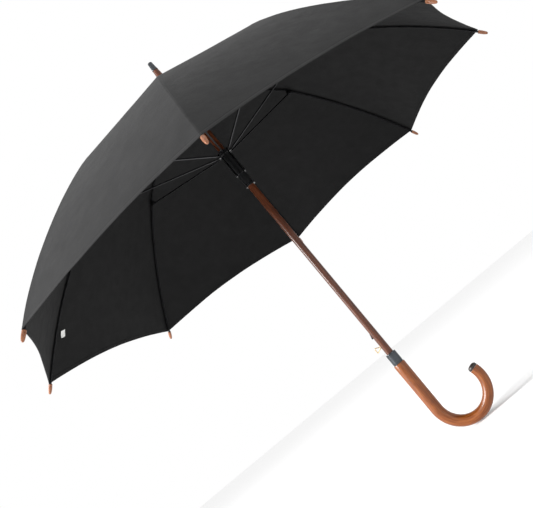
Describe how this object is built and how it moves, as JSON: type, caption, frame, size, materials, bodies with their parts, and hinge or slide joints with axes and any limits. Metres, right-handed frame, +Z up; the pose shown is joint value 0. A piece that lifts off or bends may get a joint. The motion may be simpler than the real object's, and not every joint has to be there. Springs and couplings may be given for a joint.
{
  "type": "stick umbrella",
  "caption": "Automatic stick umbrella with a wooden shaft, crook handle and ribbed cloth canopy that folds down along the shaft.",
  "frame": {"origin": "on the shaft axis, in the middle of the straight grip of the handle", "axes": "+Z up the shaft towards the ferrule, +X the way the crook turns, +Y completes a right-handed frame"},
  "size_m": [0.9726, 0.9726, 0.8813],
  "materials": {
    "cloth": "matte woven",
    "wood": "satin lacquer",
    "tip_wood": "satin lacquer",
    "black_steel": "semi-gloss",
    "black_plastic": "satin",
    "gunmetal": "polished",
    "brass": "polished",
    "spring_steel": "bright",
    "black_cap": "satin"
  },
  "bodies": {
    "stick": {"shaft": "wood", "ferrule_cap": "gunmetal", "top_notch": "black_plastic", "notch_wire": "spring_steel", "crown_washer": "black_plastic", "stop_pin": "spring_steel", "opening_spring": "spring_steel", "catch_pin": "spring_steel", "catch_leaf_spring": "spring_steel", "collar": "gunmetal", "crook_handle": "wood", "crook_end_cap": "black_cap"},
    "runner": {"runner_barrel": "black_plastic", "runner_sleeve": "black_plastic", "drive_pin": "spring_steel"},
    "trigger": {"catch_lever": "black_steel", "trigger_wire": "brass"},
    "rib_1": {"rib_1": "black_steel", "rib_tip_1": "tip_wood", "rib_clip_1": "black_steel", "canopy_panel_1": "cloth"},
    "stretcher_1": {"stretcher_1": "black_steel"},
    "rib_2": {"rib_2": "black_steel", "rib_tip_2": "tip_wood", "rib_clip_2": "black_steel", "canopy_panel_2": "cloth"},
    "stretcher_2": {"stretcher_2": "black_steel"},
    "rib_3": {"rib_3": "black_steel", "rib_tip_3": "tip_wood", "rib_clip_3": "black_steel", "canopy_panel_3": "cloth"},
    "stretcher_3": {"stretcher_3": "black_steel"},
    "rib_4": {"rib_4": "black_steel", "rib_tip_4": "tip_wood", "rib_clip_4": "black_steel", "canopy_panel_4": "cloth"},
    "stretcher_4": {"stretcher_4": "black_steel"},
    "rib_5": {"rib_5": "black_steel", "rib_tip_5": "tip_wood", "rib_clip_5": "black_steel", "canopy_panel_5": "cloth"},
    "stretcher_5": {"stretcher_5": "black_steel"},
    "rib_6": {"rib_6": "black_steel", "rib_tip_6": "tip_wood", "rib_clip_6": "black_steel", "canopy_panel_6": "cloth"},
    "stretcher_6": {"stretcher_6": "black_steel"},
    "rib_7": {"rib_7": "black_steel", "rib_tip_7": "tip_wood", "rib_clip_7": "black_steel", "canopy_panel_7": "cloth"},
    "stretcher_7": {"stretcher_7": "black_steel"},
    "rib_8": {"rib_8": "black_steel", "rib_tip_8": "tip_wood", "rib_clip_8": "black_steel", "canopy_panel_8": "cloth"},
    "stretcher_8": {"stretcher_8": "black_steel"}
  },
  "joints": [
    {"name": "runner_slide", "type": "slide", "parent": "stick", "child": "runner", "axis": [0, 0, -1], "range_m": [0, 0.339], "stiffness_N_per_m": 30, "springref_m": -0.1, "deforming": ["opening_spring"]},
    {"name": "rib_hinge_1", "type": "hinge", "parent": "stick", "child": "rib_1", "pos_m": [0.00995, 0.00337, 0.716], "axis": [-0.3206, 0.9472, 0], "range_deg": [0, 57.42], "deforming": ["canopy_panel_1"]},
    {"name": "stretcher_hinge_1", "type": "hinge", "parent": "rib_1", "child": "stretcher_1", "pos_m": [0.23963, 0.08111, 0.61032], "axis": [-0.3206, 0.9472, 0], "range_deg": [-123.95, 0]},
    {"name": "rib_hinge_2", "type": "hinge", "parent": "stick", "child": "rib_2", "pos_m": [0.00465, 0.00941, 0.716], "axis": [-0.8965, 0.4431, 0], "range_deg": [0, 57.42], "deforming": ["canopy_panel_2"]},
    {"name": "stretcher_hinge_2", "type": "hinge", "parent": "rib_2", "child": "stretcher_2", "pos_m": [0.11209, 0.22679, 0.61032], "axis": [-0.8965, 0.4431, 0], "range_deg": [-123.95, 0]},
    {"name": "rib_hinge_3", "type": "hinge", "parent": "stick", "child": "rib_3", "pos_m": [-0.00337, 0.00995, 0.716], "axis": [-0.9472, -0.3206, 0], "range_deg": [0, 57.42], "deforming": ["canopy_panel_3"]},
    {"name": "stretcher_hinge_3", "type": "hinge", "parent": "rib_3", "child": "stretcher_3", "pos_m": [-0.08111, 0.23963, 0.61032], "axis": [-0.9472, -0.3206, 0], "range_deg": [-123.95, 0]},
    {"name": "rib_hinge_4", "type": "hinge", "parent": "stick", "child": "rib_4", "pos_m": [-0.00941, 0.00465, 0.716], "axis": [-0.4431, -0.8965, 0], "range_deg": [0, 57.42], "deforming": ["canopy_panel_4"]},
    {"name": "stretcher_hinge_4", "type": "hinge", "parent": "rib_4", "child": "stretcher_4", "pos_m": [-0.22679, 0.11209, 0.61032], "axis": [-0.4431, -0.8965, 0], "range_deg": [-123.95, 0]},
    {"name": "rib_hinge_5", "type": "hinge", "parent": "stick", "child": "rib_5", "pos_m": [-0.00995, -0.00337, 0.716], "axis": [0.3206, -0.9472, 0], "range_deg": [0, 57.42], "deforming": ["canopy_panel_5"]},
    {"name": "stretcher_hinge_5", "type": "hinge", "parent": "rib_5", "child": "stretcher_5", "pos_m": [-0.23963, -0.08111, 0.61032], "axis": [0.3206, -0.9472, 0], "range_deg": [-123.95, 0]},
    {"name": "rib_hinge_6", "type": "hinge", "parent": "stick", "child": "rib_6", "pos_m": [-0.00465, -0.00941, 0.716], "axis": [0.8965, -0.4431, 0], "range_deg": [0, 57.42], "deforming": ["canopy_panel_6"]},
    {"name": "stretcher_hinge_6", "type": "hinge", "parent": "rib_6", "child": "stretcher_6", "pos_m": [-0.11209, -0.22679, 0.61032], "axis": [0.8965, -0.4431, 0], "range_deg": [-123.95, 0]},
    {"name": "rib_hinge_7", "type": "hinge", "parent": "stick", "child": "rib_7", "pos_m": [0.00337, -0.00995, 0.716], "axis": [0.9472, 0.3206, 0], "range_deg": [0, 57.42], "deforming": ["canopy_panel_7"]},
    {"name": "stretcher_hinge_7", "type": "hinge", "parent": "rib_7", "child": "stretcher_7", "pos_m": [0.08111, -0.23963, 0.61032], "axis": [0.9472, 0.3206, 0], "range_deg": [-123.95, 0]},
    {"name": "rib_hinge_8", "type": "hinge", "parent": "stick", "child": "rib_8", "pos_m": [0.00941, -0.00465, 0.716], "axis": [0.4431, 0.8965, 0], "range_deg": [0, 57.42], "deforming": ["canopy_panel_8"]},
    {"name": "stretcher_hinge_8", "type": "hinge", "parent": "rib_8", "child": "stretcher_8", "pos_m": [0.22679, -0.11209, 0.61032], "axis": [0.4431, 0.8965, 0], "range_deg": [-123.95, 0]},
    {"name": "trigger_press", "type": "hinge", "parent": "stick", "child": "trigger", "pos_m": [-0.004, 0, 0.06], "axis": [0, 1, 0], "range_deg": [0, 3.5], "stiffness_Nm_per_rad": 0.5, "springref_deg": -5.73, "deforming": ["catch_leaf_spring"]}
  ],
  "couplings": [
    {"joint": "rib_hinge_1", "follows": "runner_slide", "rad_per_m": 2.9557},
    {"joint": "stretcher_hinge_1", "follows": "runner_slide", "rad_per_m": -6.3811},
    {"joint": "rib_hinge_2", "follows": "runner_slide", "rad_per_m": 2.9557},
    {"joint": "stretcher_hinge_2", "follows": "runner_slide", "rad_per_m": -6.3811},
    {"joint": "rib_hinge_3", "follows": "runner_slide", "rad_per_m": 2.9557},
    {"joint": "stretcher_hinge_3", "follows": "runner_slide", "rad_per_m": -6.3811},
    {"joint": "rib_hinge_4", "follows": "runner_slide", "rad_per_m": 2.9557},
    {"joint": "stretcher_hinge_4", "follows": "runner_slide", "rad_per_m": -6.3811},
    {"joint": "rib_hinge_5", "follows": "runner_slide", "rad_per_m": 2.9557},
    {"joint": "stretcher_hinge_5", "follows": "runner_slide", "rad_per_m": -6.3811},
    {"joint": "rib_hinge_6", "follows": "runner_slide", "rad_per_m": 2.9557},
    {"joint": "stretcher_hinge_6", "follows": "runner_slide", "rad_per_m": -6.3811},
    {"joint": "rib_hinge_7", "follows": "runner_slide", "rad_per_m": 2.9557},
    {"joint": "stretcher_hinge_7", "follows": "runner_slide", "rad_per_m": -6.3811},
    {"joint": "rib_hinge_8", "follows": "runner_slide", "rad_per_m": 2.9557},
    {"joint": "stretcher_hinge_8", "follows": "runner_slide", "rad_per_m": -6.3811}
  ]
}
